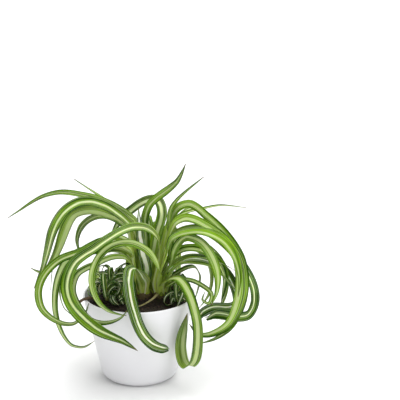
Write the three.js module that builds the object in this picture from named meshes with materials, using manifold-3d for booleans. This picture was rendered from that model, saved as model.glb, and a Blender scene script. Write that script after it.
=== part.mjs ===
// A curly, striped spider plant in a plain white tapered pot.
// Millimetres, +Z up. The origin is the middle of the round face that the pot stands on, and the front is -Y.
import * as THREE from "three";
import { mergeVertices } from "three/addons/utils/BufferGeometryUtils.js";
import Module from "manifold-3d";

const wasm = await Module();
wasm.setup();

// Driving dimensions
const fitGap = 0.3;
const pot = { height: 101, rimRadius: 65, footRadius: 43.5, footRound: 12, wall: 2.5, floor: 3.5, sides: 40 };
const soil = { top: 93, edgeDrop: 1.5, flatRadius: 46 };
const crown = { top: 95.5, topRadius: 9.4, shoulder: 3, bottom: 72, bottomRadius: 7, sides: 20 };
const crownPlaces = { a: [25, 4], b: [5, 4], c: [15, 21.5] };
const rootRings = {
  outer: { radius: 7.6, slots: 11, lean: 0.18 },
  inner: { radius: 3.8, slots: 6, lean: 0.08 },
};
const blade = { rootWidth: 3.4, tipWidth: 1.1, thickness: 0.8, fold: 0.16, rise: 17.5, ringsPerSpan: 2 };
const bladeShape = { turnedBy: 0.3, fullBy: 0.22, pointTaper: 0.28, bluntTaper: 0.05, bluntTip: 0.45,
  taperPower: 0.75 };
const sheath = { count: 9, width: 4.6, thickness: 0.9, fold: 0.1, inset: 1, lean: 2, sunk: 1.5, height: 12,
  flare: 4.6, flareStep: 0.8, droop: 3 };
const plantlet = { stubRadius: 4.2, stubHeight: 4, stubDepth: 12, stubSides: 12, rootRadius: 1.5,
  rootDepth: 2, width: 4.2, thickness: 0.7, fold: 0.1, blades: 6, rings: 8, swirl: 0.5, stray: 0.5,
  least: 0.85, spread: 0.3, tall: 1.6, low: 1.1 };
const runner = { radius: 1.3, sides: 8, steps: 18 };
// Where the light comes from in the picture, which is where most leaves turn their upper faces.
const light = new THREE.Vector3(0, -0.95, 0.3);
const clearance = { gap: 1.1, potGap: 1, rounds: 120, samplesPerSpan: 5, step: 0.6, leastWeight: 0.5,
  sideways: 0.6, searchRange: 18 };

// Long leaves. root is the crown, the ring of roots on it and the slot in that ring. route is where the leaf
// goes after it has risen out of the crown. turn is how far its upper face turns to the light in front, and
// below 0 it turns away and shows its pale underside. taper is the share of its length that narrows to the
// point, where a leaf isn't like most. A blunt leaf ends rolled and not in a point.
const leaves = [
  { name: "leaf_left_reach", root: ["b", "inner", 3], width: 8.5, turn: 0.6, taper: 0.55,
    route: [[-4, -5, 183], [-22, 0, 199], [-43, 6, 212], [-65, 10, 218], [-88, 14, 220], [-112, 17, 213],
      [-135, 20, 198], [-150, 22, 188]] },
  { name: "leaf_left_wisp", root: ["b", "inner", 2], width: 5, turn: 0.3, taper: 0.4,
    route: [[1, 12, 173], [-18, 24, 190], [-36, 42, 201], [-56, 58, 211], [-75, 70, 221]] },
  { name: "leaf_left_arch", root: ["b", "inner", 4], width: 10.5, turn: 0.8,
    route: [[-2, -6, 177], [-25, -12, 207], [-48, -18, 217], [-66, -24, 218], [-82, -32, 209], [-94, -38, 190],
      [-100, -42, 170], [-106, -44, 149], [-117, -45, 125]] },
  { name: "leaf_left_hook", root: ["b", "outer", 4.8], width: 10, turn: -0.7,
    route: [[-9, -2, 181], [-31, -2, 200], [-52, -4, 203], [-71, -8, 200], [-81, -12, 186], [-89, -16, 165],
      [-100, -20, 144], [-110, -24, 137], [-121, -26, 143]] },
  { name: "leaf_left_ring", root: ["b", "outer", 6.6], width: 8.5, turn: 0.75,
    route: [[-6, -11, 157], [-23, -20, 171], [-43, -28, 173], [-65, -36, 164], [-85, -43, 159],
      [-102, -49, 146], [-111, -51, 126], [-108, -50, 103], [-92, -46, 86], [-75, -42, 81],
      [-62, -38, 90], [-54, -35, 103]] },
  { name: "leaf_left_drop", root: ["b", "outer", 5.7], width: 11.5, turn: 0.8,
    route: [[-3, -6, 146], [-21, -10, 161], [-46, -16, 161], [-66, -22, 158], [-82, -26, 147], [-92, -30, 125],
      [-95, -32, 100], [-91, -33, 75], [-79, -34, 53], [-64, -36, 50], [-51, -38, 58]] },
  { name: "leaf_front_crescent", root: ["a", "outer", 7], width: 9.5, turn: 0.75, taper: 0.16,
    route: [[28, -10, 143], [25, -16, 169], [10, -25, 187], [-8, -37, 192], [-28, -48, 186], [-49, -59, 175],
      [-69, -68, 163], [-78, -76, 142], [-74, -80, 121], [-60, -82, 102], [-39, -83, 86], [-19, -83, 76],
      [-2, -82, 63]] },
  { name: "leaf_front_curl", root: ["b", "outer", 7.5], width: 7, turn: 0.7,
    route: [[-3, -16, 138], [-14, -24, 153], [-30, -32, 156], [-48, -44, 152], [-67, -54, 145],
      [-73, -60, 128], [-66, -64, 109], [-53, -68, 95], [-35, -71, 93], [-20, -72, 99], [-12, -70, 107]] },
  { name: "leaf_front_ring", root: ["a", "outer", 8], width: 8, turn: 0.7,
    route: [[25, -20, 134], [13, -28, 158], [-7, -39, 174], [-28, -49, 175], [-44, -60, 164], [-51, -68, 142],
      [-45, -74, 120], [-32, -78, 109], [-14, -80, 104]] },
  { name: "leaf_front_apron", root: ["b", "outer", 8.4], width: 12.5, turn: 0.5, blunt: true,
    route: [[1, -14, 128], [-4, -30, 144], [-9, -46, 145], [-11, -59, 130], [-6, -70, 103], [4, -72, 80],
      [17, -69, 65], [32, -66, 59]] },
  { name: "leaf_upright_stripe", root: ["b", "inner", 5], width: 11, turn: 1, face: 270, taper: 0.4,
    route: [[10, -8, 129], [7, -13, 146], [3, -13, 163], [1, -11, 183], [1, -8, 206]] },
  { name: "leaf_upright_twist", root: ["b", "inner", 1], width: 8.5, turn: 0.8, face: 250, taper: 0.22,
    route: [[5, 2, 138], [6, 4, 164], [8, 6, 189], [15, 8, 207], [31, 12, 219], [46, 16, 231],
      [56, 20, 250]] },
  { name: "leaf_upright_fold", root: ["a", "inner", 0], width: 6, turn: 0.6, face: 290, taper: 0.4,
    route: [[33, -4, 140], [37, -4, 166], [36, -4, 184], [40, 0, 202], [53, 6, 216], [77, 18, 235]] },
  { name: "leaf_back_loop", root: ["c", "inner", 4], width: 11, turn: 0.7, taper: 0.18,
    route: [[21, 10, 150], [22, 14, 171], [28, 22, 190], [24, 36, 202], [10, 46, 199], [-7, 54, 186],
      [-21, 60, 171], [-34, 64, 148]] },
  { name: "leaf_left_small_ring", root: ["b", "outer", 3.9], width: 6.5, turn: 0.7, taper: 0.2,
    route: [[-1, 9, 157], [-16, 16, 178], [-34, 24, 187], [-52, 34, 183], [-66, 41, 170], [-72, 44, 152],
      [-69, 44, 134]] },
  { name: "leaf_right_arch", root: ["a", "inner", 2], width: 9.5, turn: 0.7,
    route: [[31, 2, 154], [39, 2, 187], [46, 2, 205], [60, 4, 207], [77, 6, 193], [100, 8, 169], [118, 8, 140],
      [123, 4, 112], [119, -4, 85], [106, -12, 61], [87, -18, 49], [70, -22, 45]] },
  { name: "leaf_right_shoulder", root: ["a", "inner", 1], width: 10, turn: 0.7,
    route: [[35, -9, 157], [41, -10, 187], [55, -10, 194], [74, -14, 188], [94, -20, 175], [111, -26, 153],
      [116, -32, 126], [113, -36, 101], [102, -40, 77], [84, -42, 66], [68, -42, 65], [57, -40, 77]] },
  { name: "leaf_right_bright", root: ["a", "inner", 4], width: 10, turn: 0.5,
    route: [[31, -14, 153], [38, -22, 174], [54, -28, 182], [74, -34, 184], [94, -40, 176], [107, -44, 159],
      [113, -46, 136], [112, -46, 111]] },
  { name: "leaf_right_rolled", root: ["a", "outer", 2], width: 11, turn: 0.7, blunt: true,
    route: [[39, 8, 123], [60, 14, 136], [85, 18, 131], [103, 16, 118], [113, 10, 99], [114, 4, 85],
      [104, -2, 83], [87, -6, 85], [74, -10, 80], [69, -12, 72]] },
  { name: "leaf_right_inner_arch", root: ["a", "inner", 5], width: 9, turn: 0.7,
    route: [[36, -6, 139], [41, -14, 161], [54, -24, 175], [69, -34, 173], [81, -42, 159], [88, -48, 138],
      [87, -50, 118], [81, -50, 103]] },
  { name: "leaf_right_inner_drop", root: ["a", "outer", 3], width: 9, turn: 0.6,
    route: [[34, 8, 140], [51, 8, 151], [69, 6, 152], [87, 6, 142], [97, 6, 130], [101, 4, 114],
      [96, -2, 86]] },
  { name: "leaf_right_low_reach", root: ["a", "outer", 1], width: 7.5, turn: -0.3,
    route: [[36, 1, 122], [44, -4, 136], [57, -11, 146], [74, -16, 148], [93, -18, 143], [112, -18, 132]] },
  { name: "leaf_right_low_fall", root: ["a", "outer", 0], width: 7.5, turn: -0.3,
    route: [[34, -14, 126], [47, -18, 140], [64, -22, 143], [81, -24, 140], [96, -24, 128], [114, -20, 106]] },
  { name: "leaf_right_curl", root: ["a", "outer", 10], width: 5.5, turn: 0.4,
    route: [[31, -12, 115], [45, -20, 123], [60, -28, 125], [73, -34, 120], [82, -38, 112], [79, -40, 102],
      [72, -40, 106], [75, -38, 115]] },
  { name: "leaf_right_dark", root: ["c", "outer", 10], width: 6, turn: 0.4,
    route: [[39, 12, 113], [53, 16, 125], [66, 24, 123], [72, 30, 111], [70, 33, 92], [66, 34, 76]] },
  { name: "leaf_front_hairpin", root: ["a", "outer", 9], width: 13, turn: 0, taper: 0.13,
    route: [[29, -12, 115], [35, -24, 127], [44, -37, 130], [54, -47, 119], [60, -54, 103], [64, -60, 84],
      [64, -65, 62], [61, -65, 44], [55, -59, 34], [50, -50, 37], [48, -45, 50], [50, -47, 70],
      [54, -53, 95]] },
  { name: "leaf_right_wisp", root: ["c", "inner", 5], width: 4.5, turn: 0.4, taper: 0.4,
    route: [[31, 18, 164], [40, 20, 181], [53, 26, 189], [73, 36, 191], [99, 48, 192], [130, 60, 185]] },
  { name: "leaf_right_outer_ring", root: ["a", "outer", 4], width: 12, turn: 0.6, blunt: true,
    route: [[29, 12, 146], [46, 14, 168], [72, 18, 171], [98, 20, 155], [119, 16, 130], [132, 8, 107],
      [135, 0, 88], [126, -8, 74], [107, -14, 76], [89, -20, 82], [77, -24, 76]] },
  { name: "leaf_back_right_arch", root: ["c", "inner", 0], width: 8.5, turn: 0.2,
    route: [[40, 36, 165], [62, 52, 186], [82, 62, 172], [106, 70, 147], [124, 74, 117], [128, 72, 90],
      [122, 66, 64], [108, 58, 42]] },
  { name: "leaf_back_left_arch", root: ["c", "inner", 3], width: 9, turn: 0.2,
    route: [[-2, 36, 165], [-30, 46, 188], [-56, 52, 190], [-78, 58, 180], [-90, 62, 158], [-98, 62, 132],
      [-104, 58, 108], [-106, 50, 88]] },
  { name: "leaf_back_left_hook", root: ["c", "outer", 7], width: 8, turn: 0.2,
    route: [[-7, 36, 136], [-30, 38, 150], [-54, 34, 146], [-74, 33, 132], [-88, 34, 112], [-93, 32, 92],
      [-89, 28, 74], [-78, 24, 64]] },
  { name: "leaf_back_tall", root: ["c", "inner", 2], width: 9, turn: 0,
    route: [[14, 34, 146], [14, 44, 166], [12, 58, 174], [10, 76, 170], [8, 92, 150], [6, 102, 124],
      [5, 106, 98], [7, 104, 72]] },
  { name: "leaf_back_fall", root: ["c", "inner", 1], width: 10, turn: 0,
    route: [[18, 40, 146], [22, 58, 164], [26, 80, 160], [28, 100, 138], [28, 112, 108], [26, 114, 78],
      [22, 110, 52], [16, 104, 34]] },
  { name: "leaf_back_right_fall", root: ["c", "outer", 2], width: 9, turn: 0,
    route: [[24, 38, 140], [33, 58, 158], [40, 80, 158], [46, 98, 138], [49, 108, 108], [49, 110, 78],
      [45, 104, 54]] },
  { name: "leaf_back_left_fall", root: ["c", "outer", 4], width: 9, turn: 0,
    route: [[8, 40, 140], [2, 60, 156], [-4, 82, 154], [-8, 100, 132], [-11, 110, 102], [-12, 110, 74],
      [-10, 102, 52], [-4, 94, 40]] },
  { name: "leaf_back_left_curl", root: ["c", "outer", 5], width: 8, turn: 0,
    route: [[4, 34, 136], [-14, 50, 150], [-30, 70, 148], [-42, 86, 132], [-50, 92, 106], [-50, 90, 80],
      [-44, 82, 60], [-32, 76, 52]] },
  { name: "leaf_back_right_curl", root: ["c", "outer", 0], width: 8, turn: 0,
    route: [[28, 30, 134], [48, 38, 148], [72, 48, 148], [94, 56, 130], [106, 60, 104], [106, 58, 78],
      [96, 52, 58], [80, 46, 50]] },
  { name: "leaf_back_low_curl", root: ["c", "outer", 3], width: 7, turn: 0,
    route: [[18, 36, 116], [14, 52, 128], [12, 68, 124], [10, 80, 106], [8, 84, 86], [10, 79, 70],
      [16, 74, 62]] },
  { name: "leaf_back_left_low", root: ["c", "outer", 6], width: 7, turn: 0,
    route: [[-2, 28, 120], [-20, 40, 134], [-38, 56, 132], [-52, 68, 114], [-58, 72, 90], [-55, 70, 70],
      [-44, 68, 58]] },
  { name: "leaf_back_right_low", root: ["c", "outer", 1], width: 7, turn: 0,
    route: [[26, 34, 118], [42, 48, 132], [64, 64, 132], [82, 78, 114], [90, 84, 90], [86, 82, 66],
      [74, 74, 52]] },
];

// Plantlets of short curled leaves that stand in the soil beside the crowns, each with its own seed. A row of
// places is where a plantlet's rosettes stand, with the size of each. curl is how a leaf arches out of its
// stub and rolls in again, as distances out and up that grow with its size.
const plantlets = [
  { name: "plantlet_left", seed: 41, places: [[-37, -6, 1.2], [-18, -17, 0.8]] },
  { name: "plantlet_middle", seed: 5, places: [[-28, 25, 1.1]] },
  { name: "plantlet_right", seed: 7, places: [[46, -17, 0.72]] },
  { name: "plantlet_back", seed: 31, places: [[43, 25, 0.75]] },
];
const curl = [[3.5, 8], [8, 15], [13, 16], [16.5, 11], [15.5, 5], [11, 3.5], [9, 6.5]];

// The cut end of an old runner, which leans over the rim at the left.
const runnerRoute = [[-42, -10, 95], [-50, -15, 100], [-56, -19, 103], [-62, -22, 103], [-67, -25, 101],
  [-70, -27, 96]];

const materials = {
  pot: new THREE.MeshStandardMaterial({ color: 0xe9e9eb, roughness: 0.35, metalness: 0 }),
  soil: new THREE.MeshStandardMaterial({ color: 0x2b1d15, roughness: 0.95, metalness: 0 }),
  crown: new THREE.MeshStandardMaterial({ color: 0x6f6a2c, roughness: 0.7, metalness: 0 }),
  leaf: new THREE.MeshStandardMaterial({ color: 0x5f9a30, roughness: 0.45, metalness: 0 }),
  plantlet: new THREE.MeshStandardMaterial({ color: 0x4c6f3c, roughness: 0.5, metalness: 0 }),
  runner: new THREE.MeshStandardMaterial({ color: 0x3a2a1a, roughness: 0.8, metalness: 0 }),
};

const plant = new THREE.Group();

function addPiece(name, geometry, material) {
  const mesh = new THREE.Mesh(geometry, material);
  mesh.name = name;
  plant.add(mesh);
}

// A repeatable draw between 0 and 1 for each seed.
function drawsFrom(seed) {
  let state = seed;
  return () => {
    state = (state * 1664525 + 1013904223) % 4294967296;
    return state / 4294967296;
  };
}

// Closed solids in and out of the boolean library
function toSolid(geometry) {
  const bare = geometry.clone();
  bare.deleteAttribute("normal");
  bare.deleteAttribute("uv");
  const merged = mergeVertices(bare, 1e-4);
  return new wasm.Manifold(new wasm.Mesh({
    numProp: 3,
    vertProperties: new Float32Array(merged.attributes.position.array),
    triVerts: new Uint32Array(merged.index.array),
  }));
}

function fromSolid(solid) {
  const mesh = solid.getMesh();
  const geometry = new THREE.BufferGeometry();
  geometry.setAttribute("position", new THREE.BufferAttribute(new Float32Array(mesh.vertProperties), 3));
  geometry.setIndex(new THREE.BufferAttribute(new Uint32Array(mesh.triVerts), 1));
  return geometry;
}

function turned(profile, sides) {
  const geometry = new THREE.LatheGeometry(profile.map(([r, z]) => new THREE.Vector2(r, z)), sides);
  geometry.rotateX(Math.PI / 2);
  return geometry;
}

// Pot: a tapered cup with a rounded foot and a thin plain lip
const wallSlope = (pot.rimRadius - pot.footRadius) / pot.height;

function potRadius(z) {
  return pot.footRadius + wallSlope * z;
}

function potProfile() {
  const lean = Math.atan(wallSlope);
  const tangentLength = pot.footRound / Math.tan((Math.PI / 2 + lean) / 2);
  const centreRadius = pot.footRadius - tangentLength;
  const profile = [[0, 0], [centreRadius, 0]];
  const arcSteps = 4;
  for (let i = 1; i <= arcSteps; i += 1) {
    const angle = -Math.PI / 2 + (Math.PI / 2 - lean) * (i / arcSteps);
    profile.push([centreRadius + pot.footRound * Math.cos(angle), pot.footRound * (1 + Math.sin(angle))]);
  }
  const innerFloorRadius = potRadius(pot.floor) - pot.wall - pot.footRound / 3;
  profile.push([pot.rimRadius, pot.height]);
  profile.push([pot.rimRadius - pot.wall, pot.height]);
  profile.push([potRadius(pot.footRound) - pot.wall, pot.footRound]);
  profile.push([innerFloorRadius, pot.floor]);
  profile.push([0, pot.floor]);
  return profile;
}

// Soil: fills the pot up to a little under the lip, with a plain hole for each stem that stands in it
function soilSolid(stems) {
  const rim = soil.top - soil.edgeDrop;
  const side = (z) => potRadius(z) - pot.wall - fitGap;
  const bottom = pot.floor + fitGap;
  const bottomRadius = potRadius(pot.floor) - pot.wall - pot.footRound / 3 - fitGap;
  const profile = [[0, bottom], [bottomRadius, bottom], [side(pot.footRound), pot.footRound], [side(rim), rim],
    [soil.flatRadius, soil.top], [0, soil.top]];
  let solid = toSolid(turned(profile, pot.sides));
  for (const stem of stems) {
    const depth = soil.top - stem.bottom + 2 * fitGap;
    const hole = turned([[0, 0], [stem.radius, 0], [stem.radius, depth], [0, depth]], crown.sides);
    hole.translate(stem.x, stem.y, stem.bottom - fitGap);
    solid = solid.subtract(toSolid(hole));
  }
  return solid;
}

// A blade's frame at each point of its route: along, across and up out of its upper face, with a level root
function bladeFrames(centres, outward, turn) {
  const frames = [];
  const along = centres.map((point, i) => {
    const before = centres[Math.max(i - 1, 0)];
    const after = centres[Math.min(i + 1, centres.length - 1)];
    return i === 0 ? new THREE.Vector3(0, 0, 1) : after.clone().sub(before).normalize();
  });
  let across = outward.clone().cross(along[0]).normalize();
  centres.forEach((centre, i) => {
    if (i > 0) {
      across.applyQuaternion(new THREE.Quaternion().setFromUnitVectors(along[i - 1], along[i]));
    }
    const share = Math.abs(turn) * Math.min(1, i / (centres.length * bladeShape.turnedBy));
    const up = across.clone().cross(along[i]);
    const lit = light.clone().projectOnPlane(along[i]).multiplyScalar(Math.sign(turn));
    const faced = up.multiplyScalar(1 - share).addScaledVector(lit, share).normalize();
    frames.push({ centre, along: along[i], across: along[i].clone().cross(faced).normalize(), up: faced });
  });
  return frames;
}

// Width along a leaf: narrow at the root, full from a fifth of its length, and drawn to a point or a blunt end
function bladeWidth(share, width, taperLength, tipWidth = blade.tipWidth) {
  const swell = THREE.MathUtils.smoothstep(share, 0, bladeShape.fullBy);
  const taper = Math.min(1, (1 - share) / taperLength) ** bladeShape.taperPower;
  const grown = blade.rootWidth + (width - blade.rootWidth) * swell;
  return Math.max(Math.min(tipWidth, grown), grown * taper);
}

// A closed blade with a shallow fold along its middle. Both faces are split into triangles alike.
function bladeGeometry(frames, widths, thickness, fold) {
  const positions = [];
  frames.forEach((frame, i) => {
    const half = widths[i] / 2;
    const lift = half * 2 * fold;
    const corners = [[-half, lift], [0, 0], [half, lift], [half, lift - thickness], [0, -thickness],
      [-half, lift - thickness]];
    for (const [sideways, height] of corners) {
      const point = frame.centre.clone().addScaledVector(frame.across, sideways)
        .addScaledVector(frame.up, height);
      positions.push(point.x, point.y, point.z);
    }
  });
  const corners = 6;
  const topEdges = 3;
  const index = [];
  for (let i = 0; i < frames.length - 1; i += 1) {
    for (let k = 0; k < corners; k += 1) {
      const next = (k + 1) % corners;
      const [a, b] = [i * corners + k, i * corners + next];
      const [c, d] = [b + corners, a + corners];
      if (k < topEdges) index.push(a, b, c, a, c, d);
      else index.push(a, b, d, b, c, d);
    }
  }
  const last = (frames.length - 1) * corners;
  index.push(0, 4, 1, 0, 5, 4, 1, 3, 2, 1, 4, 3);
  index.push(last, last + 1, last + 4, last, last + 4, last + 5);
  index.push(last + 1, last + 2, last + 3, last + 1, last + 3, last + 4);
  const geometry = new THREE.BufferGeometry();
  geometry.setAttribute("position", new THREE.Float32BufferAttribute(positions, 3));
  geometry.setIndex(index);
  return geometry;
}

// Where a leaf starts: on its ring round its crown, then straight up out of it
function rootPoints(leaf) {
  const [crownName, ringName, slot] = leaf.root;
  const [x, y] = crownPlaces[crownName];
  const ring = rootRings[ringName];
  const angle = (slot / ring.slots) * 2 * Math.PI;
  const root = new THREE.Vector3(x + ring.radius * Math.cos(angle), y + ring.radius * Math.sin(angle),
    crown.top + fitGap);
  const rise = new THREE.Vector3(Math.cos(angle) * ring.lean, Math.sin(angle) * ring.lean, 1);
  return [root, root.clone().addScaledVector(rise, blade.rise)];
}

function controlPoints(leaf) {
  return [...rootPoints(leaf), ...leaf.route.map((point) => new THREE.Vector3(...point))];
}

function outwardOf(leaf, points) {
  if (leaf.face !== undefined) {
    const angle = THREE.MathUtils.degToRad(leaf.face);
    return new THREE.Vector3(Math.cos(angle), Math.sin(angle), 0);
  }
  const middle = new THREE.Vector3();
  points.forEach((point) => middle.addScaledVector(point, 1 / points.length));
  return middle.sub(points[0]).setZ(0).normalize();
}

// The frames and widths of a leaf, with so many rings to each span between its control points
function layOut(leaf, points, perSpan) {
  const curve = new THREE.CatmullRomCurve3(points, false, "centripetal");
  const centres = curve.getPoints((points.length - 1) * perSpan);
  const lengths = [0];
  for (let i = 1; i < centres.length; i += 1) {
    lengths.push(lengths[i - 1] + centres[i].distanceTo(centres[i - 1]));
  }
  const total = lengths[lengths.length - 1];
  const taper = leaf.blunt ? bladeShape.bluntTaper : leaf.taper ?? bladeShape.pointTaper;
  const tipWidth = leaf.blunt ? leaf.width * bladeShape.bluntTip : blade.tipWidth;
  return {
    frames: bladeFrames(centres, outwardOf(leaf, points), leaf.turn),
    widths: lengths.map((length) => bladeWidth(length / total, leaf.width, taper, tipWidth)),
  };
}

// How far a blade reaches from its middle line in one direction
function reachTowards(frame, width, direction) {
  const lift = blade.thickness + width * blade.fold;
  return Math.abs(direction.dot(frame.across)) * width / 2 + Math.abs(direction.dot(frame.up)) * lift / 2;
}

// The way out of the pot, the soil or the floor for a blade that would touch it, or null
function wayOffPot(point, reach) {
  const radius = Math.hypot(point.x, point.y);
  if (point.z > pot.height + reach) return null;
  const wallRadius = potRadius(point.z);
  if (radius > wallRadius + reach) return null;
  if (radius > wallRadius - pot.wall - reach) {
    const outwards = Math.max(0, wallRadius + reach - radius) / Math.max(radius, 1);
    return new THREE.Vector3(point.x * outwards, point.y * outwards, 0);
  }
  const lift = soil.top + reach - point.z;
  return lift > 0 ? new THREE.Vector3(0, 0, lift) : null;
}

// Bends every route clear of its neighbours and of the pot. A root stays where it is, and a route gives way
// more in depth than across or up.
function bendClear(routes, standing) {
  const fixed = null;
  const scale = new THREE.Vector3(clearance.sideways, 1, clearance.sideways);
  const offset = new THREE.Vector3();
  for (let round = 0; round < clearance.rounds; round += 1) {
    const laid = routes.map(({ leaf, points }) => layOut(leaf, points, clearance.samplesPerSpan));
    const moves = routes.map(({ points }) => points.map(() => ({ push: new THREE.Vector3(), weight: 0 })));
    const press = (route, sample, push) => {
      const place = sample / clearance.samplesPerSpan;
      const before = Math.min(Math.floor(place), routes[route].points.length - 2);
      for (const [point, weight] of [[before, before + 1 - place], [before + 1, place - before]]) {
        moves[route][point].push.addScaledVector(push, weight);
        moves[route][point].weight += weight;
      }
    };
    const separate = (a, first, i, b, other, j) => {
      offset.copy(first.frames[i].centre).sub(other.frames[j].centre);
      const distance = offset.length();
      if (distance > clearance.searchRange) return;
      offset.divideScalar(Math.max(distance, 1e-6));
      const need = reachTowards(first.frames[i], first.widths[i], offset)
        + reachTowards(other.frames[j], other.widths[j], offset) + clearance.gap;
      if (distance >= need) return;
      const push = offset.clone().multiply(scale).multiplyScalar((need - distance) / 2);
      press(a, i, push);
      if (b !== fixed) press(b, j, push.negate());
    };
    laid.forEach((first, a) => {
      first.frames.forEach((frame, i) => {
        const reach = first.widths[i] / 2 * Math.abs(frame.across.z) + blade.thickness + clearance.potGap;
        const way = wayOffPot(frame.centre, reach);
        if (way) press(a, i, way);
      });
      for (let b = a + 1; b < laid.length; b += 1) {
        for (let i = 0; i < first.frames.length; i += 1) {
          for (let j = 0; j < laid[b].frames.length; j += 1) separate(a, first, i, b, laid[b], j);
        }
      }
      for (const other of standing) {
        for (let i = 0; i < first.frames.length; i += 1) {
          for (let j = 0; j < other.frames.length; j += 1) separate(a, first, i, fixed, other, j);
        }
      }
    });
    routes.forEach(({ points }, route) => {
      points.forEach((point, k) => {
        const { push, weight } = moves[route][k];
        if (k > 0 && weight > 0) point.addScaledVector(push, clearance.step / Math.max(weight, clearance.leastWeight));
      });
    });
  }
}

// Crown: a stub that stands in the soil, with the dried bases of old leaves round its edge
function sheathBlades(x, y) {
  const blades = [];
  for (let k = 0; k < sheath.count; k += 1) {
    const angle = ((k + 0.5) / sheath.count) * 2 * Math.PI;
    const outward = new THREE.Vector3(Math.cos(angle), Math.sin(angle), 0);
    const at = (radius, z) => new THREE.Vector3(x + outward.x * radius, y + outward.y * radius, z);
    const foot = crown.topRadius - sheath.inset;
    const tip = foot + sheath.flare + (k % 3) * sheath.flareStep;
    const towardsNeighbour = Object.values(crownPlaces).some(([nx, ny]) => (nx !== x || ny !== y)
      && Math.hypot(at(tip, 0).x - nx, at(tip, 0).y - ny) < crown.topRadius + sheath.width);
    if (towardsNeighbour) continue;
    const height = sheath.height - (k % 2) * sheath.droop;
    const centres = [at(foot, crown.top - sheath.sunk), at(foot + sheath.lean, crown.top + sheath.sunk),
      at(tip, crown.top + height)];
    const widths = [sheath.width, sheath.width, blade.tipWidth];
    blades.push({ frames: bladeFrames(centres, outward, 0), widths });
  }
  return blades;
}

function crownSolid(x, y, sheaths) {
  const shoulder = crown.top - crown.shoulder;
  const stub = turned([[0, crown.bottom], [crown.bottomRadius, crown.bottom], [crown.topRadius, shoulder],
    [crown.topRadius, crown.top], [0, crown.top]], crown.sides);
  stub.translate(x, y, 0);
  let solid = toSolid(stub);
  for (const { frames, widths } of sheaths) {
    solid = solid.add(toSolid(bladeGeometry(frames, widths, sheath.thickness, sheath.fold)));
  }
  return solid;
}

// Rosette: short leaves that arch out of a stub and roll in again at their ends
const rosetteBase = soil.top + plantlet.stubHeight;

function rosetteBlades([x, y, size], draw) {
  const blades = [];
  for (let k = 0; k < plantlet.blades; k += 1) {
    const angle = ((k + plantlet.stray * draw()) / plantlet.blades) * 2 * Math.PI;
    const outward = new THREE.Vector3(Math.cos(angle), Math.sin(angle), 0);
    const grown = size * (plantlet.least + plantlet.spread * draw());
    const tall = grown * (k % 2 === 0 ? plantlet.tall : plantlet.low);
    const at = (radius, z, swirl) => new THREE.Vector3(x + Math.cos(angle + swirl) * radius,
      y + Math.sin(angle + swirl) * radius, rosetteBase + z);
    const points = [at(plantlet.rootRadius, -plantlet.rootDepth, 0)];
    curl.forEach(([out, up], step) => {
      points.push(at(out * grown, up * tall, plantlet.swirl * (step / curl.length)));
    });
    const centres = new THREE.CatmullRomCurve3(points, false, "centripetal").getPoints(plantlet.rings);
    const widths = centres.map((point, i) => bladeWidth(i / plantlet.rings, plantlet.width,
      bladeShape.pointTaper));
    blades.push({ frames: bladeFrames(centres, outward, 0), widths });
  }
  return blades;
}

function stubSolid([x, y]) {
  const bottom = soil.top - plantlet.stubDepth;
  const narrow = plantlet.stubRadius - 1;
  const outline = [[0, bottom], [narrow, bottom], [plantlet.stubRadius, soil.top], [narrow, rosetteBase],
    [0, rosetteBase]];
  const stub = turned(outline, plantlet.stubSides);
  stub.translate(x, y, 0);
  return toSolid(stub);
}

// Runner: a short round stalk
function runnerGeometry() {
  const outline = new THREE.Shape().absarc(0, 0, runner.radius, 0, 2 * Math.PI);
  const path = new THREE.CatmullRomCurve3(runnerRoute.map((point) => new THREE.Vector3(...point)));
  return new THREE.ExtrudeGeometry(outline, {
    steps: runner.steps, curveSegments: runner.sides / 2, extrudePath: path, bevelEnabled: false,
  });
}

addPiece("pot", turned(potProfile(), pot.sides), materials.pot);

const stems = Object.values(crownPlaces).map(([x, y]) => ({ x, y, radius: crown.topRadius + fitGap,
  bottom: crown.bottom }));
for (const [x, y] of plantlets.flatMap((row) => row.places)) {
  stems.push({ x, y, radius: plantlet.stubRadius + fitGap, bottom: soil.top - plantlet.stubDepth });
}
addPiece("soil", fromSolid(soilSolid(stems)), materials.soil);

const standing = [];
for (const [key, [x, y]] of Object.entries(crownPlaces)) {
  const sheaths = sheathBlades(x, y);
  standing.push(...sheaths);
  addPiece(`crown_${key}`, fromSolid(crownSolid(x, y, sheaths)), materials.crown);
}
for (const { name, seed, places } of plantlets) {
  const draw = drawsFrom(seed);
  const blades = places.flatMap((place) => rosetteBlades(place, draw));
  standing.push(...blades);
  let solid = wasm.Manifold.union(places.map(stubSolid));
  for (const { frames, widths } of blades) {
    solid = solid.add(toSolid(bladeGeometry(frames, widths, plantlet.thickness, plantlet.fold)));
  }
  addPiece(name, fromSolid(solid), materials.plantlet);
}
addPiece("runner_stub", runnerGeometry(), materials.runner);

const routes = leaves.map((leaf) => ({ leaf, points: controlPoints(leaf) }));
bendClear(routes, standing);
for (const { leaf, points } of routes) {
  const { frames, widths } = layOut(leaf, points, blade.ringsPerSpan);
  addPiece(leaf.name, bladeGeometry(frames, widths, blade.thickness, blade.fold), materials.leaf);
}

export default plant;
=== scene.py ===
"""A curly, striped spider plant in a plain white tapered pot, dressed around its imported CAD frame.
Everything is in metres, +Z up, with the pot standing on the origin and the front towards -Y."""
import math
import random

import bmesh
import bpy
from bpy.props import FloatProperty, FloatVectorProperty, IntProperty, PointerProperty
from mathutils import Matrix, Vector, noise


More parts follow.
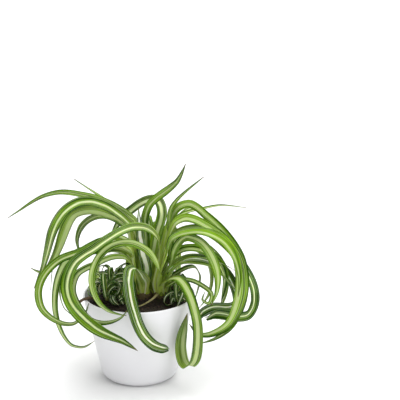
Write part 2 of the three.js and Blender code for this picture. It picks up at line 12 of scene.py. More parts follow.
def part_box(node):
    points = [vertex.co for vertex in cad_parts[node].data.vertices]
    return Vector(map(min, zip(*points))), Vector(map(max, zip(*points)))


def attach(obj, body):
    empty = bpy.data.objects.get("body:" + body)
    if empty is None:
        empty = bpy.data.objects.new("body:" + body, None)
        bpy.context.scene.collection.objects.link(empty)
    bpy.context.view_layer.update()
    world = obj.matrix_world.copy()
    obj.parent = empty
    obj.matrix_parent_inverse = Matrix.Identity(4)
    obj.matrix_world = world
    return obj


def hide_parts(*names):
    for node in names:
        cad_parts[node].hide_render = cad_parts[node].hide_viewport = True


bl_info = {
    "name": "Curly Spider Plant",
    "version": (1, 0, 0),
    "blender": (4, 5, 0),
    "location": "3D View > Sidebar > Plant",
    "description": "Builds a potted spider plant with curled, striped leaves around its packed frame",
    "category": "Add Mesh",
}

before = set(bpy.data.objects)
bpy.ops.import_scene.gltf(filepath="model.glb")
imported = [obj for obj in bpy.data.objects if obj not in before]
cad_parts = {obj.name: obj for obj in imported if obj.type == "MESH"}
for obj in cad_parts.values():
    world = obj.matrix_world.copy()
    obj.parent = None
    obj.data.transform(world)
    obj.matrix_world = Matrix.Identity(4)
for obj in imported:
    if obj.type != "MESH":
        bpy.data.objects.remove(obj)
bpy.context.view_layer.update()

MM = 0.001
POT_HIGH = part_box("pot")[1]
POT_HEIGHT = POT_HIGH[2]
RIM_RADIUS = POT_HIGH[0]
SOIL_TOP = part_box("soil")[1][2]
LEAF_NAMES = sorted(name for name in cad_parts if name.startswith("leaf_"))

# Where the crowns and the plantlets stand, and the cut runner's route, as in the frame. Lush is how large the
# small loops of a plantlet are, which only this script adds.
CROWN_TOP = 95.5 * MM
ROOT_GAP = 0.3 * MM
CROWN_PLACES = {"crown_a": (25, 4), "crown_b": (5, 4), "crown_c": (15, 21.5)}
CROWN_RADIUS = 9.4
CROWN_FOOT = 72
MOUND_HEIGHT = 3.2 * MM
MOUND_NEAR, MOUND_FAR = 8 * MM, 17 * MM
DRIED_SHEATHS, GREEN_SHEATHS = 16, 8
PLANTLETS = {
    "plantlet_left": {"seed": 41, "lush": 1.25, "places": ((-37, -6, 1.2), (-18, -17, 0.8))},
    "plantlet_middle": {"seed": 5, "lush": 1.7, "places": ((-28, 25, 1.1),)},
    "plantlet_right": {"seed": 7, "lush": 1.6, "places": ((46, -17, 0.72),)},
    "plantlet_back": {"seed": 31, "lush": 1.6, "places": ((43, 25, 0.75),)},
}
PLANTLET_BLADES = 6
PLANTLET_WIDTH = 4.2
LOOPS = 12
LOOP_FULLNESS = 1.1
# How a plantlet's leaf arches out and rolls in again, as (distance out, height), and how far it swirls
CURL = ((3.5, 8), (8, 15), (13, 16), (16.5, 11), (15.5, 5), (11, 3.5), (9, 6.5))
SWIRL = 0.5
RUNNER_ROUTE = [(-42, -10, 95), (-50, -15, 100), (-56, -19, 103), (-62, -22, 103), (-67, -25, 101),
                (-70, -27, 96)]
RUNNER_RADIUS = 1.3
# How much thicker the dry stalk is here than in the frame, and where along it the knot sits
RUNNER_FULLNESS = 1.3
RUNNER_KNOT = 0.45
# A dried strand that lies over the soil in front of the crowns
FALLEN_STRAND = ((22, -5, 97), (22, -13, 104), (15, -22, 101), (3, -30, 97), (-9, -38, 97))

# Stripe half-width as a share of the leaf, its strength, and where it runs, from 0 at the left edge to 1 at
# the right edge, for the leaves whose stripe shows in the photo
STRIPES = {
    "leaf_upright_stripe": (0.4, 1.6, 0.5),
    "leaf_front_apron": (0.17, 1.15, 0.5),
    "leaf_front_hairpin": (0.36, 0.65, 0.42),
    "leaf_left_arch": (0.2, 0.95, 0.55),
    "leaf_left_drop": (0.36, 0.9, 0.35),
    "leaf_left_ring": (0.22, 0.7, 0.55),
    "leaf_left_hook": (0.5, 0.7, 0.35),
    "leaf_front_crescent": (0.2, 0.95, 0.55),
    "leaf_front_curl": (0.28, 0.6, 0.7),
    "leaf_front_ring": (0.3, 0.65, 0.25),
    "leaf_right_arch": (0.2, 0.5, 0.5),
    "leaf_right_bright": (0.3, 0.45, 0.6),
    "leaf_right_shoulder": (0.36, 0.6, 0.65),
    "leaf_right_inner_arch": (0.3, 0.75, 0.4),
    "leaf_back_loop": (0.34, 0.95, 0.5),
    "leaf_upright_twist": (0.2, 0.5, 0.5),
    "leaf_left_reach": (0.2, 0.15, 0.5),
    "leaf_right_rolled": (0.16, 1.2, 0.5),
    "leaf_right_outer_ring": (0.13, 1.0, 0.5),
}
STRIPE_RANGE = ((0.16, 0.4), (0.3, 0.85), (0.3, 0.7))
# How dark a leaf is, from 0 fresh to 1 old and dark
SHADES = {
    "leaf_right_dark": 0.9, "leaf_left_small_ring": 0.7, "leaf_right_outer_ring": 0.85,
    "leaf_right_rolled": 0.9, "leaf_front_apron": 0.68, "leaf_upright_stripe": 0.75,
    "leaf_right_bright": 0.05, "leaf_right_low_reach": 0.2, "leaf_right_inner_arch": 0.15,
    "leaf_left_reach": 0.4, "leaf_left_drop": 0.5, "leaf_front_crescent": 0.58, "leaf_left_arch": 0.6,
    "leaf_left_hook": 0.6, "leaf_front_hairpin": 0.55, "leaf_left_ring": 0.45,
}
SHADE_RANGE = (0.2, 0.65)
BLUNT_LEAVES = ("leaf_front_apron", "leaf_right_rolled", "leaf_right_outer_ring")
# Share by which the outer part of a leaf is wider or narrower than in the frame, to look like the photo
TAILS = {
    "leaf_left_drop": -0.45, "leaf_front_crescent": 0.4, "leaf_right_shoulder": 0.7, "leaf_right_arch": 0.35,
    "leaf_right_bright": 0.4, "leaf_front_hairpin": 0.12, "leaf_left_reach": 0.2, "leaf_left_arch": 0.1,
    "leaf_left_small_ring": 0.2, "leaf_left_hook": 0.25, "leaf_front_curl": 0.25,
    "leaf_right_inner_drop": 0.2, "leaf_right_inner_arch": 0.2, "leaf_right_dark": 0.2,
}
TAIL_START, TAIL_FULL = 0.4, 0.7
# How many times as wide as in the frame every long leaf is, before its tail
FULLNESS = 1.06
# How far along its markings the rounded end of a blunt leaf comes, so that its tip isn't faded
BLUNT_SHARE = 0.94
LEAF_SEED = 9
CRUMB_SEED = 4

# Colours in the markings of a blade
WHITENED = (0.88, 0.92, 0.76)
COOL_GREEN = (0.12, 0.25, 0.06)
# Pale yellow-green of a leaf's base, made lighter than the real base as painted light where the crown lies in
# shade
ROOT_YELLOW_AND_PAINTED_LIGHT = (0.8, 0.92, 0.17)
DRIED_TIP = (0.13, 0.08, 0.03)
LEAF_SHEEN = (0.8, 1.0, 0.45, 1)
# Light and dark tones of the dried parts
SHEATH_TONES = ((0.15, 0.11, 0.035), (0.03, 0.02, 0.008))
STRAND_TONES = ((0.42, 0.38, 0.17), (0.16, 0.13, 0.045))
STALK_TONES = ((0.12, 0.07, 0.03), (0.03, 0.018, 0.01))
# Fresh, deep and stripe colours of the green leaf bases
BASE_GREENS = ((0.42, 0.55, 0.03), (0.16, 0.28, 0.006), (0.7, 0.8, 0.22))

# Soft lights: place in metres, side of the square, and power in watts
LIGHTS = {
    "key": ((0.95, -1.0, 1.2), 0.8, 9.5),
    "front": ((-0.35, -1.5, 0.55), 0.8, 3.5),
    "rim": ((0.5, 1.2, 1.3), 0.9, 5.0),
}
LIGHTS_AIM = (0, 0, 0.12)
SUN_STRENGTH = 2.7
SUN_SPREAD = math.radians(55)
WORLD_STRENGTH = 0.45
FLOOR_SIZE = 9.0


# Properties


class PotLooks(bpy.types.PropertyGroup):
    """Sizes and colour of the pot"""

    wall: FloatProperty(name="Wall", description="Thickness of the pot's wall", default=2.5 * MM,
                        unit="LENGTH")
    foot_round: FloatProperty(name="Foot round", description="Radius where the wall meets the foot",
                              default=12 * MM, unit="LENGTH")
    foot_radius: FloatProperty(name="Foot radius", description="Where the wall's slope meets the floor",
                               default=43.5 * MM, unit="LENGTH")
    lip_round: FloatProperty(name="Lip round", description="Radius of the lip's edges", default=0.9 * MM,
                             unit="LENGTH")
    sides: IntProperty(name="Sides", description="Steps round the pot", default=160)
    glaze: FloatVectorProperty(name="Glaze", description="Colour of the glaze", subtype="COLOR",
                               default=(0.78, 0.78, 0.8))


class SoilLooks(bpy.types.PropertyGroup):
    """Grain and colour of the soil"""

    crumbs: IntProperty(name="Crumbs", description="Loose crumbs on the soil", default=900)
    roughness: FloatProperty(name="Unevenness", description="Height of the bumps in the soil",
                             default=1.6 * MM, unit="LENGTH")
    colour: FloatVectorProperty(name="Colour", description="Colour of moist soil", subtype="COLOR",
                                default=(0.013, 0.008, 0.005))
    fibre: FloatVectorProperty(name="Fibre", description="Colour of the reddish bits in it",
                               subtype="COLOR", default=(0.055, 0.026, 0.014))


class LeafLooks(bpy.types.PropertyGroup):
    """Grain, thickness and colours of the leaves"""

    columns: IntProperty(name="Columns", description="Faces across a long leaf", default=8)
    steps: IntProperty(name="Steps", description="Faces along each stretch of a long leaf", default=5)
    thickness: FloatProperty(name="Thickness", description="Thickness of a leaf", default=0.45 * MM,
                             unit="LENGTH")
    wave: FloatProperty(name="Wave", description="How far the edges of a leaf wave", default=0.35 * MM,
                        unit="LENGTH")
    fresh: FloatVectorProperty(name="Fresh green", description="Colour of a young leaf", subtype="COLOR",
                               default=(0.17, 0.32, 0.006))
    deep: FloatVectorProperty(name="Deep green", description="Colour of an old leaf", subtype="COLOR",
                              default=(0.011, 0.05, 0.001))
    stripe: FloatVectorProperty(name="Stripe", description="Colour of the stripe along a leaf",
                                subtype="COLOR", default=(0.64, 0.72, 0.35))
    pale: FloatVectorProperty(name="Underside", description="Colour of a leaf's underside",
                              subtype="COLOR", default=(0.27, 0.4, 0.05))


class StageLooks(bpy.types.PropertyGroup):
    """Camera and floor"""

    lens: FloatProperty(name="Lens", description="Focal length on a 36 mm sensor, in millimetres",
                        default=106.65)
    place: FloatVectorProperty(name="Camera", description="Where the camera stands",
                               subtype="TRANSLATION", default=(0.0, -1.3, 0.58))
    pitch: FloatProperty(name="Pitch", description="How far the camera looks down",
                         default=math.radians(15.77), subtype="ANGLE")
    yaw: FloatProperty(name="Yaw", description="How far the camera turns to the right",
                       default=math.radians(3.14), subtype="ANGLE")
    floor: FloatVectorProperty(name="Floor", description="Colour of the floor", subtype="COLOR",
                               default=(0.88, 0.88, 0.88))


# Shader helpers


def new_material(name, build):
    """A material with an empty Principled shader, whose nodes build() then links."""
    material = bpy.data.materials.new(name)
    material.use_nodes = True
    nodes = material.node_tree.nodes
    links = material.node_tree.links
    build(nodes, links, nodes["Principled BSDF"])
    return material


def add_node(nodes, kind, **values):
    node = nodes.new(kind)
    for key, value in values.items():
        setattr(node, key, value)
    return node


def raise_grain(shader, height, strength, distance):
    """Lets a height socket bump the shader's surface."""
    tree = shader.id_data
    bump = tree.nodes.new("ShaderNodeBump")
    bump.inputs["Strength"].default_value = strength
    bump.inputs["Distance"].default_value = distance
    tree.links.new(height, bump.inputs["Height"])
    tree.links.new(bump.outputs["Normal"], shader.inputs["Normal"])


def maths(tree, operation, first, second=None, clamp=False):
    """One Math node: numbers are set on it, and sockets are linked to it."""
    node = add_node(tree.nodes, "ShaderNodeMath", operation=operation, use_clamp=clamp)
    for socket, value in zip(node.inputs, (first, second)):
        if isinstance(value, (int, float)):
            socket.default_value = value
        elif value is not None:
            tree.links.new(value, socket)
    return node.outputs[0]


def between(tree, value, low, high):
    """Smoothly 0 below low and 1 above high."""
    node = add_node(tree.nodes, "ShaderNodeMapRange", interpolation_type="SMOOTHSTEP")
    tree.links.new(value, node.inputs["Value"])
    for name, limit in (("From Min", low), ("From Max", high)):
        if isinstance(limit, (int, float)):
            node.inputs[name].default_value = limit
        else:
            tree.links.new(limit, node.inputs[name])
    return node.outputs["Result"]


def mixed(tree, share, first, second):
    node = add_node(tree.nodes, "ShaderNodeMix", data_type="RGBA")
    for socket, value in ((node.inputs[0], share), (node.inputs[6], first), (node.inputs[7], second)):
        if isinstance(value, (int, float)):
            socket.default_value = value
        elif isinstance(value, (tuple, list)):
            socket.default_value = (*value[:3], 1)
        else:
            tree.links.new(value, socket)
    return node.outputs[2]


def spread(tree, values, factors):
    """A vector of three sockets, each times its factor, to read noise at."""
    vector = tree.nodes.new("ShaderNodeCombineXYZ")
    for value, factor, socket in zip(values, factors, vector.inputs):
        tree.links.new(maths(tree, "MULTIPLY", value, factor), socket)
    return vector.outputs[0]


def noise_at(tree, vector, scale, detail=3.0, roughness=0.55):
    node = add_node(tree.nodes, "ShaderNodeTexNoise")
    node.inputs["Scale"].default_value = scale
    node.inputs["Detail"].default_value = detail
    node.inputs["Roughness"].default_value = roughness
    tree.links.new(vector, node.inputs["Vector"])
    return node.outputs["Fac"]


def markings_group():
    """The shared markings of a spider plant's blade: a pale stripe with ragged edges, side streaks, a painted
    highlight down the fold, fine parallel veins, greens that deepen towards the margins, darker bands and
    drifts that are partly painted shade, and a pale base that is partly painted light."""
    group = bpy.data.node_groups.new("blade_markings", "ShaderNodeTree")
    for name, kind in (("Blade UV", "NodeSocketVector"), ("Draws", "NodeSocketColor"),
                       ("Offset", "NodeSocketFloat"), ("Fresh", "NodeSocketColor"),
                       ("Deep", "NodeSocketColor"), ("Stripe", "NodeSocketColor"),
                       ("Stripe Share", "NodeSocketFloat")):
        group.interface.new_socket(name, in_out="INPUT", socket_type=kind)
    for name, kind in (("Color", "NodeSocketColor"), ("Roughness", "NodeSocketFloat"),
                       ("Height", "NodeSocketFloat")):
        group.interface.new_socket(name, in_out="OUTPUT", socket_type=kind)
    inward = group.nodes.new("NodeGroupInput").outputs
    outward = group.nodes.new("NodeGroupOutput").inputs
    links = group.links

    place = group.nodes.new("ShaderNodeSeparateXYZ")
    links.new(inward["Blade UV"], place.inputs[0])
    across, along = place.outputs[0], place.outputs[1]
    draws = group.nodes.new("ShaderNodeSeparateColor")
    links.new(inward["Draws"], draws.inputs[0])
    half_width, strength, shade = draws.outputs[0], draws.outputs[1], draws.outputs[2]

    drawn_out = spread(group, (across, along, shade), (13.0, 5.0, 37.0))
    streaks = noise_at(group, drawn_out, 1.7, 4.0, 0.62)
    fine = noise_at(group, drawn_out, 8.0, 2.0)
    # Broad lengthwise bands of darker green: partly the leaf's own streaky tone, partly painted shade that
    # darkens one side of a blade as if it turned from the light
    broad = spread(group, (across, along, shade), (5.5, 2.2, 71.0))
    bands_and_painted_shade = between(group, noise_at(group, broad, 1.3, 3.0), 0.42, 0.6)
    slow = group.nodes.new("ShaderNodeCombineXYZ")
    links.new(maths(group, "MULTIPLY", along, 4.0), slow.inputs[0])
    links.new(maths(group, "MULTIPLY", shade, 53.0), slow.inputs[1])
    drift = noise_at(group, slow.outputs[0], 1.1, 2.0)

    wander = maths(group, "MULTIPLY", maths(group, "SUBTRACT", drift, 0.5), 0.3)
    middle = maths(group, "ADD", inward["Offset"], wander)
    from_stripe = maths(group, "ABSOLUTE", maths(group, "SUBTRACT", across, middle))
    from_stripe = maths(group, "MULTIPLY", from_stripe, 2.0)
    from_middle = maths(group, "ABSOLUTE", maths(group, "SUBTRACT", across, 0.5))
    from_middle = maths(group, "MULTIPLY", from_middle, 2.0)
    unevenness = maths(group, "MULTIPLY", maths(group, "SUBTRACT", streaks, 0.5), 0.45)
    ragged = maths(group, "ADD", from_stripe, unevenness)
    core = maths(group, "SUBTRACT", 1.0, between(group, ragged, maths(group, "MULTIPLY", half_width, 0.7),
                                                 maths(group, "MULTIPLY", half_width, 1.1)))
    halo = maths(group, "SUBTRACT", 1.0, between(group, ragged, half_width,
                                                 maths(group, "ADD", half_width, 0.5)))
    tip_fade = maths(group, "SUBTRACT", 1.0, between(group, along, 0.88, 1.0))
    come_and_go = maths(group, "ADD", 0.45, maths(group, "MULTIPLY", drift, 1.0), clamp=True)
    core = maths(group, "MULTIPLY", maths(group, "MULTIPLY", core, strength), tip_fade)
    core = maths(group, "MULTIPLY", core, come_and_go)

    # A thin pale line down the middle of the blade: a painted highlight along the fold
    wobble = maths(group, "MULTIPLY", maths(group, "SUBTRACT", fine, 0.5), 0.1)
    line = maths(group, "ADD", from_middle, wobble)
    line = maths(group, "SUBTRACT", 1.0, between(group, line, 0.05, 0.13))
    line = maths(group, "MULTIPLY", maths(group, "MULTIPLY", line, tip_fade),
                 maths(group, "SUBTRACT", 1.15, drift))

    thin = spread(group, (across, along, shade), (34.0, 2.5, 91.0))
    side = between(group, noise_at(group, thin, 0.7, 2.0), 0.54, 0.64)
    side = maths(group, "MULTIPLY", side, 0.4)
    # The pale mask holds the real stripe and side streaks together with the painted fold highlight
    stripe = maths(group, "MAXIMUM", maths(group, "MAXIMUM", core, side), maths(group, "MULTIPLY", line, 0.8))
    stripe = maths(group, "MULTIPLY", stripe, inward["Stripe Share"], clamp=True)

    margin = between(group, from_middle, 0.5, 1.0)
    darkness = maths(group, "MULTIPLY", maths(group, "SUBTRACT", streaks, 0.5), 1.5)
    darkness = maths(group, "ADD", darkness, maths(group, "MULTIPLY", bands_and_painted_shade, 0.75))
    darkness = maths(group, "ADD", darkness, maths(group, "MULTIPLY", between(group, along, 0.72, 1.0), 0.5))
    # The slow drift also darkens and lightens long stretches of a blade: painted light and shade for lit
    # arches and shaded parts, added to the leaf's own darkness
    darkness = maths(group, "ADD", darkness, maths(group, "ADD", shade, maths(group, "MULTIPLY", drift, 1.3)))
    darkness = maths(group, "ADD", maths(group, "SUBTRACT", darkness, 0.84),
                     maths(group, "MULTIPLY", margin, 0.16), clamp=True)
    green = mixed(group, darkness, inward["Fresh"], inward["Deep"])
    cool = between(group, noise_at(group, slow.outputs[0], 2.3, 2.0), 0.5, 0.66)
    green = mixed(group, maths(group, "MULTIPLY", cool, 0.25), green, COOL_GREEN)
    # Near the root a blade turns pale yellow-green: partly the base's own colour, partly painted light
    # against the shade inside the crown
    root_pale_and_lit_share = maths(group, "SUBTRACT", 1.0, between(group, along, 0.05, 0.32))
    root_green_and_painted_light = mixed(group, 0.55, inward["Fresh"], ROOT_YELLOW_AND_PAINTED_LIGHT)
    rooted = mixed(group, maths(group, "MULTIPLY", root_pale_and_lit_share, 0.85), green, root_green_and_painted_light)
    yellowed = mixed(group, 0.25, inward["Fresh"], inward["Stripe"])
    halo_share = maths(group, "MULTIPLY", maths(group, "MULTIPLY", halo, strength), 0.28)
    haloed = mixed(group, halo_share, rooted, yellowed)
    whitened = mixed(group, between(group, strength, 0.85, 1.3), inward["Stripe"], WHITENED)
    striped = mixed(group, stripe, haloed, whitened)
    dried = maths(group, "MULTIPLY", between(group, along, 0.965, 1.0), 0.75)
    links.new(mixed(group, dried, striped, DRIED_TIP), outward["Color"])

    rough = maths(group, "ADD", 0.36, maths(group, "MULTIPLY", fine, 0.18))
    links.new(maths(group, "ADD", rough, maths(group, "MULTIPLY", stripe, 0.06)), outward["Roughness"])
    veins = maths(group, "SINE", maths(group, "MULTIPLY", across, 88.0))
    relief = maths(group, "ADD", maths(group, "MULTIPLY", veins, 0.35), maths(group, "MULTIPLY", fine, 0.65))
    links.new(relief, outward["Height"])
    return group


def blade_material(name, group, fresh, deep, stripe, stripe_share, shine):
    def build(nodes, links, shader):
        uv = add_node(nodes, "ShaderNodeUVMap", uv_map="blade")
        draws = add_node(nodes, "ShaderNodeAttribute", attribute_name="draws")
        marks = add_node(nodes, "ShaderNodeGroup", node_tree=group)
        links.new(uv.outputs["UV"], marks.inputs["Blade UV"])
        links.new(draws.outputs["Color"], marks.inputs["Draws"])
        links.new(draws.outputs["Alpha"], marks.inputs["Offset"])
        marks.inputs["Fresh"].default_value = (*fresh, 1)
        marks.inputs["Deep"].default_value = (*deep, 1)
        marks.inputs["Stripe"].default_value = (*stripe, 1)
        marks.inputs["Stripe Share"].default_value = stripe_share
        raise_grain(shader, marks.outputs["Height"], 0.5, 0.2 * MM)
        links.new(marks.outputs["Color"], shader.inputs["Base Color"])
        links.new(marks.outputs["Roughness"], shader.inputs["Roughness"])
        shader.inputs["Specular IOR Level"].default_value = shine
        shader.inputs["Specular Tint"].default_value = LEAF_SHEEN
        shader.inputs["Subsurface Weight"].default_value = 0.3
        shader.inputs["Subsurface Radius"].default_value = (0.5, 1.0, 0.15)
        shader.inputs["Subsurface Scale"].default_value = 1.2 * MM
    return new_material(name, build)


def glaze_material(looks):
    def build(nodes, links, shader):
        tree = shader.id_data
        place = nodes.new("ShaderNodeTexCoord").outputs["Object"]
        cloud = noise_at(tree, place, 14.0, 3.0)
        grain = noise_at(tree, place, 900.0, 2.0)
        duller = tuple(channel * 0.94 for channel in looks.glaze)
        links.new(mixed(tree, cloud, tuple(looks.glaze), duller), shader.inputs["Base Color"])
        rough = maths(tree, "ADD", 0.34, maths(tree, "MULTIPLY", cloud, 0.1))
        links.new(rough, shader.inputs["Roughness"])
        raise_grain(shader, grain, 0.12, 0.2 * MM)
    return new_material("pot_white_glaze", build)


def soil_material(looks):
    def build(nodes, links, shader):
        tree = shader.id_data
        place = nodes.new("ShaderNodeTexCoord").outputs["Object"]
        lumps = noise_at(tree, place, 420.0, 4.0, 0.7)
        specks = between(tree, noise_at(tree, place, 260.0, 2.0), 0.58, 0.68)
        lighter = tuple(channel * 2.6 for channel in looks.colour)
        ground = mixed(tree, lumps, tuple(looks.colour), lighter)
        links.new(mixed(tree, specks, ground, tuple(looks.fibre)), shader.inputs["Base Color"])
        rough = maths(tree, "ADD", 0.7, maths(tree, "MULTIPLY", lumps, 0.25))
        links.new(rough, shader.inputs["Roughness"])
        raise_grain(shader, lumps, 0.8, 0.8 * MM)
    return new_material("moist_soil", build)


def dry_material(name, light, dark):
    """Dry, papery tissue with lengthwise fibres, read from the piece's own blade UV."""
    def build(nodes, links, shader):
        tree = shader.id_data
        uv = add_node(nodes, "ShaderNodeUVMap", uv_map="blade")
        stretch = nodes.new("ShaderNodeMapping")
        stretch.inputs["Scale"].default_value = (26.0, 2.0, 1.0)
        links.new(uv.outputs["UV"], stretch.inputs["Vector"])
        fibre = noise_at(tree, stretch.outputs["Vector"], 1.6, 4.0, 0.65)
        patch = noise_at(tree, nodes.new("ShaderNodeTexCoord").outputs["Object"], 160.0, 3.0)
        share = maths(tree, "ADD", maths(tree, "MULTIPLY", fibre, 0.6), maths(tree, "MULTIPLY", patch, 0.5))
        links.new(mixed(tree, between(tree, share, 0.3, 0.75), dark, light), shader.inputs["Base Color"])
        links.new(maths(tree, "ADD", 0.6, maths(tree, "MULTIPLY", fibre, 0.3)), shader.inputs["Roughness"])
        raise_grain(shader, fibre, 0.6, 0.25 * MM)
    return new_material(name, build)


def floor_material(looks):
    def build(nodes, links, shader):
        tree = shader.id_data
        place = nodes.new("ShaderNodeTexCoord").outputs["Object"]
        cloud = noise_at(tree, place, 0.8, 2.0)
        dimmer = tuple(channel * 0.985 for channel in looks.floor)
        links.new(mixed(tree, cloud, tuple(looks.floor), dimmer), shader.inputs["Base Color"])
        shader.inputs["Roughness"].default_value = 0.75
        shader.inputs["Specular IOR Level"].default_value = 0.2
    return new_material("pale_floor", build)


# Mesh helpers


def finish_piece(bm, name, materials, smooth=True):
    """Turns a bmesh into a linked object with its materials."""
    mesh = bpy.data.meshes.new(name)
    bm.to_mesh(mesh)
    bm.free()
    for polygon in mesh.polygons:
        polygon.use_smooth = smooth
    piece = bpy.data.objects.new(name, mesh)
    bpy.context.scene.collection.objects.link(piece)
    for material in materials:
        mesh.materials.append(material)
    return piece


def settle(piece, node):
    """Rides a piece on the one body, and lets it stand for its CAD node."""
    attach(piece, "root")
    if node:
        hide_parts(node)


def blend_points(points, place):
    """A point on a smooth curve through a list of vectors, at a place counted in list steps."""
    last = len(points) - 1
    before = min(int(place), last - 1)
    share = place - before
    p1, p2 = points[before], points[before + 1]
    p0 = points[before - 1] if before > 0 else p1 * 2 - p2
    p3 = points[before + 2] if before + 2 <= last else p2 * 2 - p1
    square, cube = share * share, share ** 3
    return 0.5 * (p1 * 2 + (p2 - p0) * share + (p0 * 2 - p1 * 5 + p2 * 4 - p3) * square
                  + (p1 * 3 - p0 - p2 * 3 + p3) * cube)


def blend_numbers(values, place):
    before = min(int(place), len(values) - 2)
    share = place - before
    return values[before] * (1 - share) + values[before + 1] * share


def smooth_step(value, low, high):
    share = min(1.0, max(0.0, (value - low) / (high - low)))
    return share * share * (3 - 2 * share)


def read_blade(node):
    """The rings of a CAD leaf, from its root to its tip: its middle line, the direction across it, the
    direction up out of its upper face, and its widths."""
    bm = bmesh.new()
    bm.from_mesh(node.data)
    bmesh.ops.remove_doubles(bm, verts=bm.verts, dist=1e-6)
    root_height = CROWN_TOP + ROOT_GAP
    level_verts = [v for v in bm.verts if abs(v.co.z - root_height) < 3e-5]
    centre = min(level_verts, key=lambda v: math.hypot(v.co.x - 0.015, v.co.y - 0.01)).co
    ring = [v for v in level_verts if (v.co - centre).length < 6 * MM]
    seen = set(ring)
    rings = [ring]
    while True:
        ahead = {edge.other_vert(v) for v in rings[-1] for edge in v.link_edges} - seen
        if not ahead:
            break
        seen |= ahead
        rings.append(list(ahead))
    centres = [sum((v.co for v in ring), Vector()) / len(ring) for ring in rings]
    far = max(((a.co - b.co, (a.co - b.co).length) for a in ring for b in ring), key=lambda row: row[1])[0]
    across = far.normalized()
    middle, sideways, upwards, widths = [], [], [], []
    for index, ring in enumerate(rings):
        ahead = centres[min(index + 1, len(rings) - 1)] - centres[max(index - 1, 0)]
        if index == 0:
            ahead = Vector((0, 0, 1))
        along = ahead.normalized()
        if index > 0:
            across = previous_along.rotation_difference(along) @ across
        previous_along = along
        ranked = sorted((v.co.copy() for v in ring), key=lambda co: co.dot(across))
        left, keel, right = ranked[:2], ranked[2:4], ranked[4:]
        across = (sum(right, Vector()) - sum(left, Vector())).normalized()
        edges = (sum(left, Vector()) + sum(right, Vector())) / 4
        up = edges - sum(keel, Vector()) / 2
        up = (up - along * up.dot(along) - across * up.dot(across)).normalized()
        middle.append(max(keel, key=lambda co: co.dot(up)))
        sideways.append(across.copy())
        upwards.append(up)
        widths.append(((sum(right, Vector()) - sum(left, Vector())) / 2).length)
    bm.free()
    return middle, sideways, upwards, widths


def add_blade(bm, spine, sideways, upwards, widths, columns, steps, wave, draws, seed, clasp=1.0,
              blunt=False):
    """Adds one thin blade to a bmesh: a grid moved along the spine, gutter-shaped across, with its UV
    map running 0 to 1 across and along, and the leaf's own draws as a colour attribute. A blunt blade
    rolls in on itself towards a rounded end."""
    uv_layer = bm.loops.layers.uv.get("blade") or bm.loops.layers.uv.new("blade")
    colour = bm.verts.layers.float_color.get("draws") or bm.verts.layers.float_color.new("draws")
    rows = (len(spine) - 1) * steps
    total = sum((after - before).length for before, after in zip(spine, spine[1:]))
    laid = []
    for row in range(rows + 1):
        place = row / steps
        laid.append((blend_points(spine, place), blend_points(sideways, place).normalized(),
                     blend_points(upwards, place).normalized(), blend_numbers(widths, place)))
    before = set(bm.faces)
    places = {}
    marked = BLUNT_SHARE if blunt else 1.0
    for vert in bmesh.ops.create_grid(bm, x_segments=columns, y_segments=rows, size=1.0)["verts"]:
        u, share = vert.co.x, (vert.co.y + 1) / 2
        places[vert] = ((u + 1) / 2, share * marked)
        centre, side, up, width = laid[round(share * rows)]
        gutter = (0.15 + 0.2 * clasp * (1 - smooth_step(share, 0.0, 0.18))) * width
        if blunt:
            gutter += 0.24 * width * smooth_step(share, 0.75, 1.0)
            width *= math.sqrt(1.04 - smooth_step(share, 0.94, 1.0) ** 2)
        ripple = noise.noise(Vector((share * total * 60, u * 0.7, seed))) * wave * u * u
        vert.co = centre + side * (u * width / 2) + up * (gutter * abs(u) ** 1.12 + ripple)
        vert[colour] = draws
    fresh = [face for face in bm.faces if face not in before]
    for face in fresh:
        for loop in face.loops:
            loop[uv_layer].uv = places[loop.vert]
    bmesh.ops.recalc_face_normals(bm, faces=fresh)
    bm.normal_update()
    middle = fresh[len(fresh) // 2]
    nearest = round(places[middle.verts[0]][1] / marked * rows)
    if middle.normal.dot(laid[nearest][2]) < 0:
        bmesh.ops.reverse_faces(bm, faces=fresh)


def thicken(piece, thickness, underside=0):
    """Gives a sheet of blades its thickness below the upper face."""
    solid = piece.modifiers.new("thickness", "SOLIDIFY")
    solid.thickness = thickness
    solid.offset = -1
    solid.material_offset = underside
    solid.use_even_offset = False


def ended(widths, blunt, tip=0.35 * MM):
    """Keeps the last of the widths broad, or draws it out to a fine point."""
    return [*widths[:-1], 0.85 * widths[-2] if blunt else tip]


def with_tail(widths, change):
    """Makes a leaf a little fuller, and its outer part wider or narrower."""
    last = len(widths) - 1
    return [width * FULLNESS * (1 + change * smooth_step(index / last, TAIL_START, TAIL_FULL))
            for index, width in enumerate(widths)]


def broad_root(widths, root=6.6 * MM, rings=5):
    """Widens a leaf's first rings, where the real one clasps its neighbours."""
    return [max(width, root) if index < rings else width for index, width in enumerate(widths)]


def spun(profile, sides):
    """A closed solid of revolution from a list of (radius, height) on the Z axis, ends on the axis."""
    bm = bmesh.new()
    verts = [bm.verts.new((radius, 0, height)) for radius, height in profile]
    for first, second in zip(verts, verts[1:]):
        bm.edges.new((first, second))
    bmesh.ops.spin(bm, geom=bm.verts[:] + bm.edges[:], cent=(0, 0, 0), axis=(0, 0, 1),
                   angle=2 * math.pi, steps=sides, use_merge=True, use_duplicate=False)
    bmesh.ops.remove_doubles(bm, verts=bm.verts, dist=1e-7)
    bmesh.ops.recalc_face_normals(bm, faces=bm.faces)
    return bm


def arc(centre, radius, start, end, steps):
    """Points of an arc in the (radius, height) plane, angles in degrees."""
    points = []
    for index in range(steps + 1):
        angle = math.radians(start + (end - start) * index / steps)
        points.append((centre[0] + radius * math.cos(angle), centre[1] + radius * math.sin(angle)))
    return points


def draws_from(seed):
    """The same repeatable draws between 0 and 1 as the CAD plantlets have."""
    state = seed
    while True:
        state = (state * 1664525 + 1013904223) % 4294967296
        yield state / 4294967296


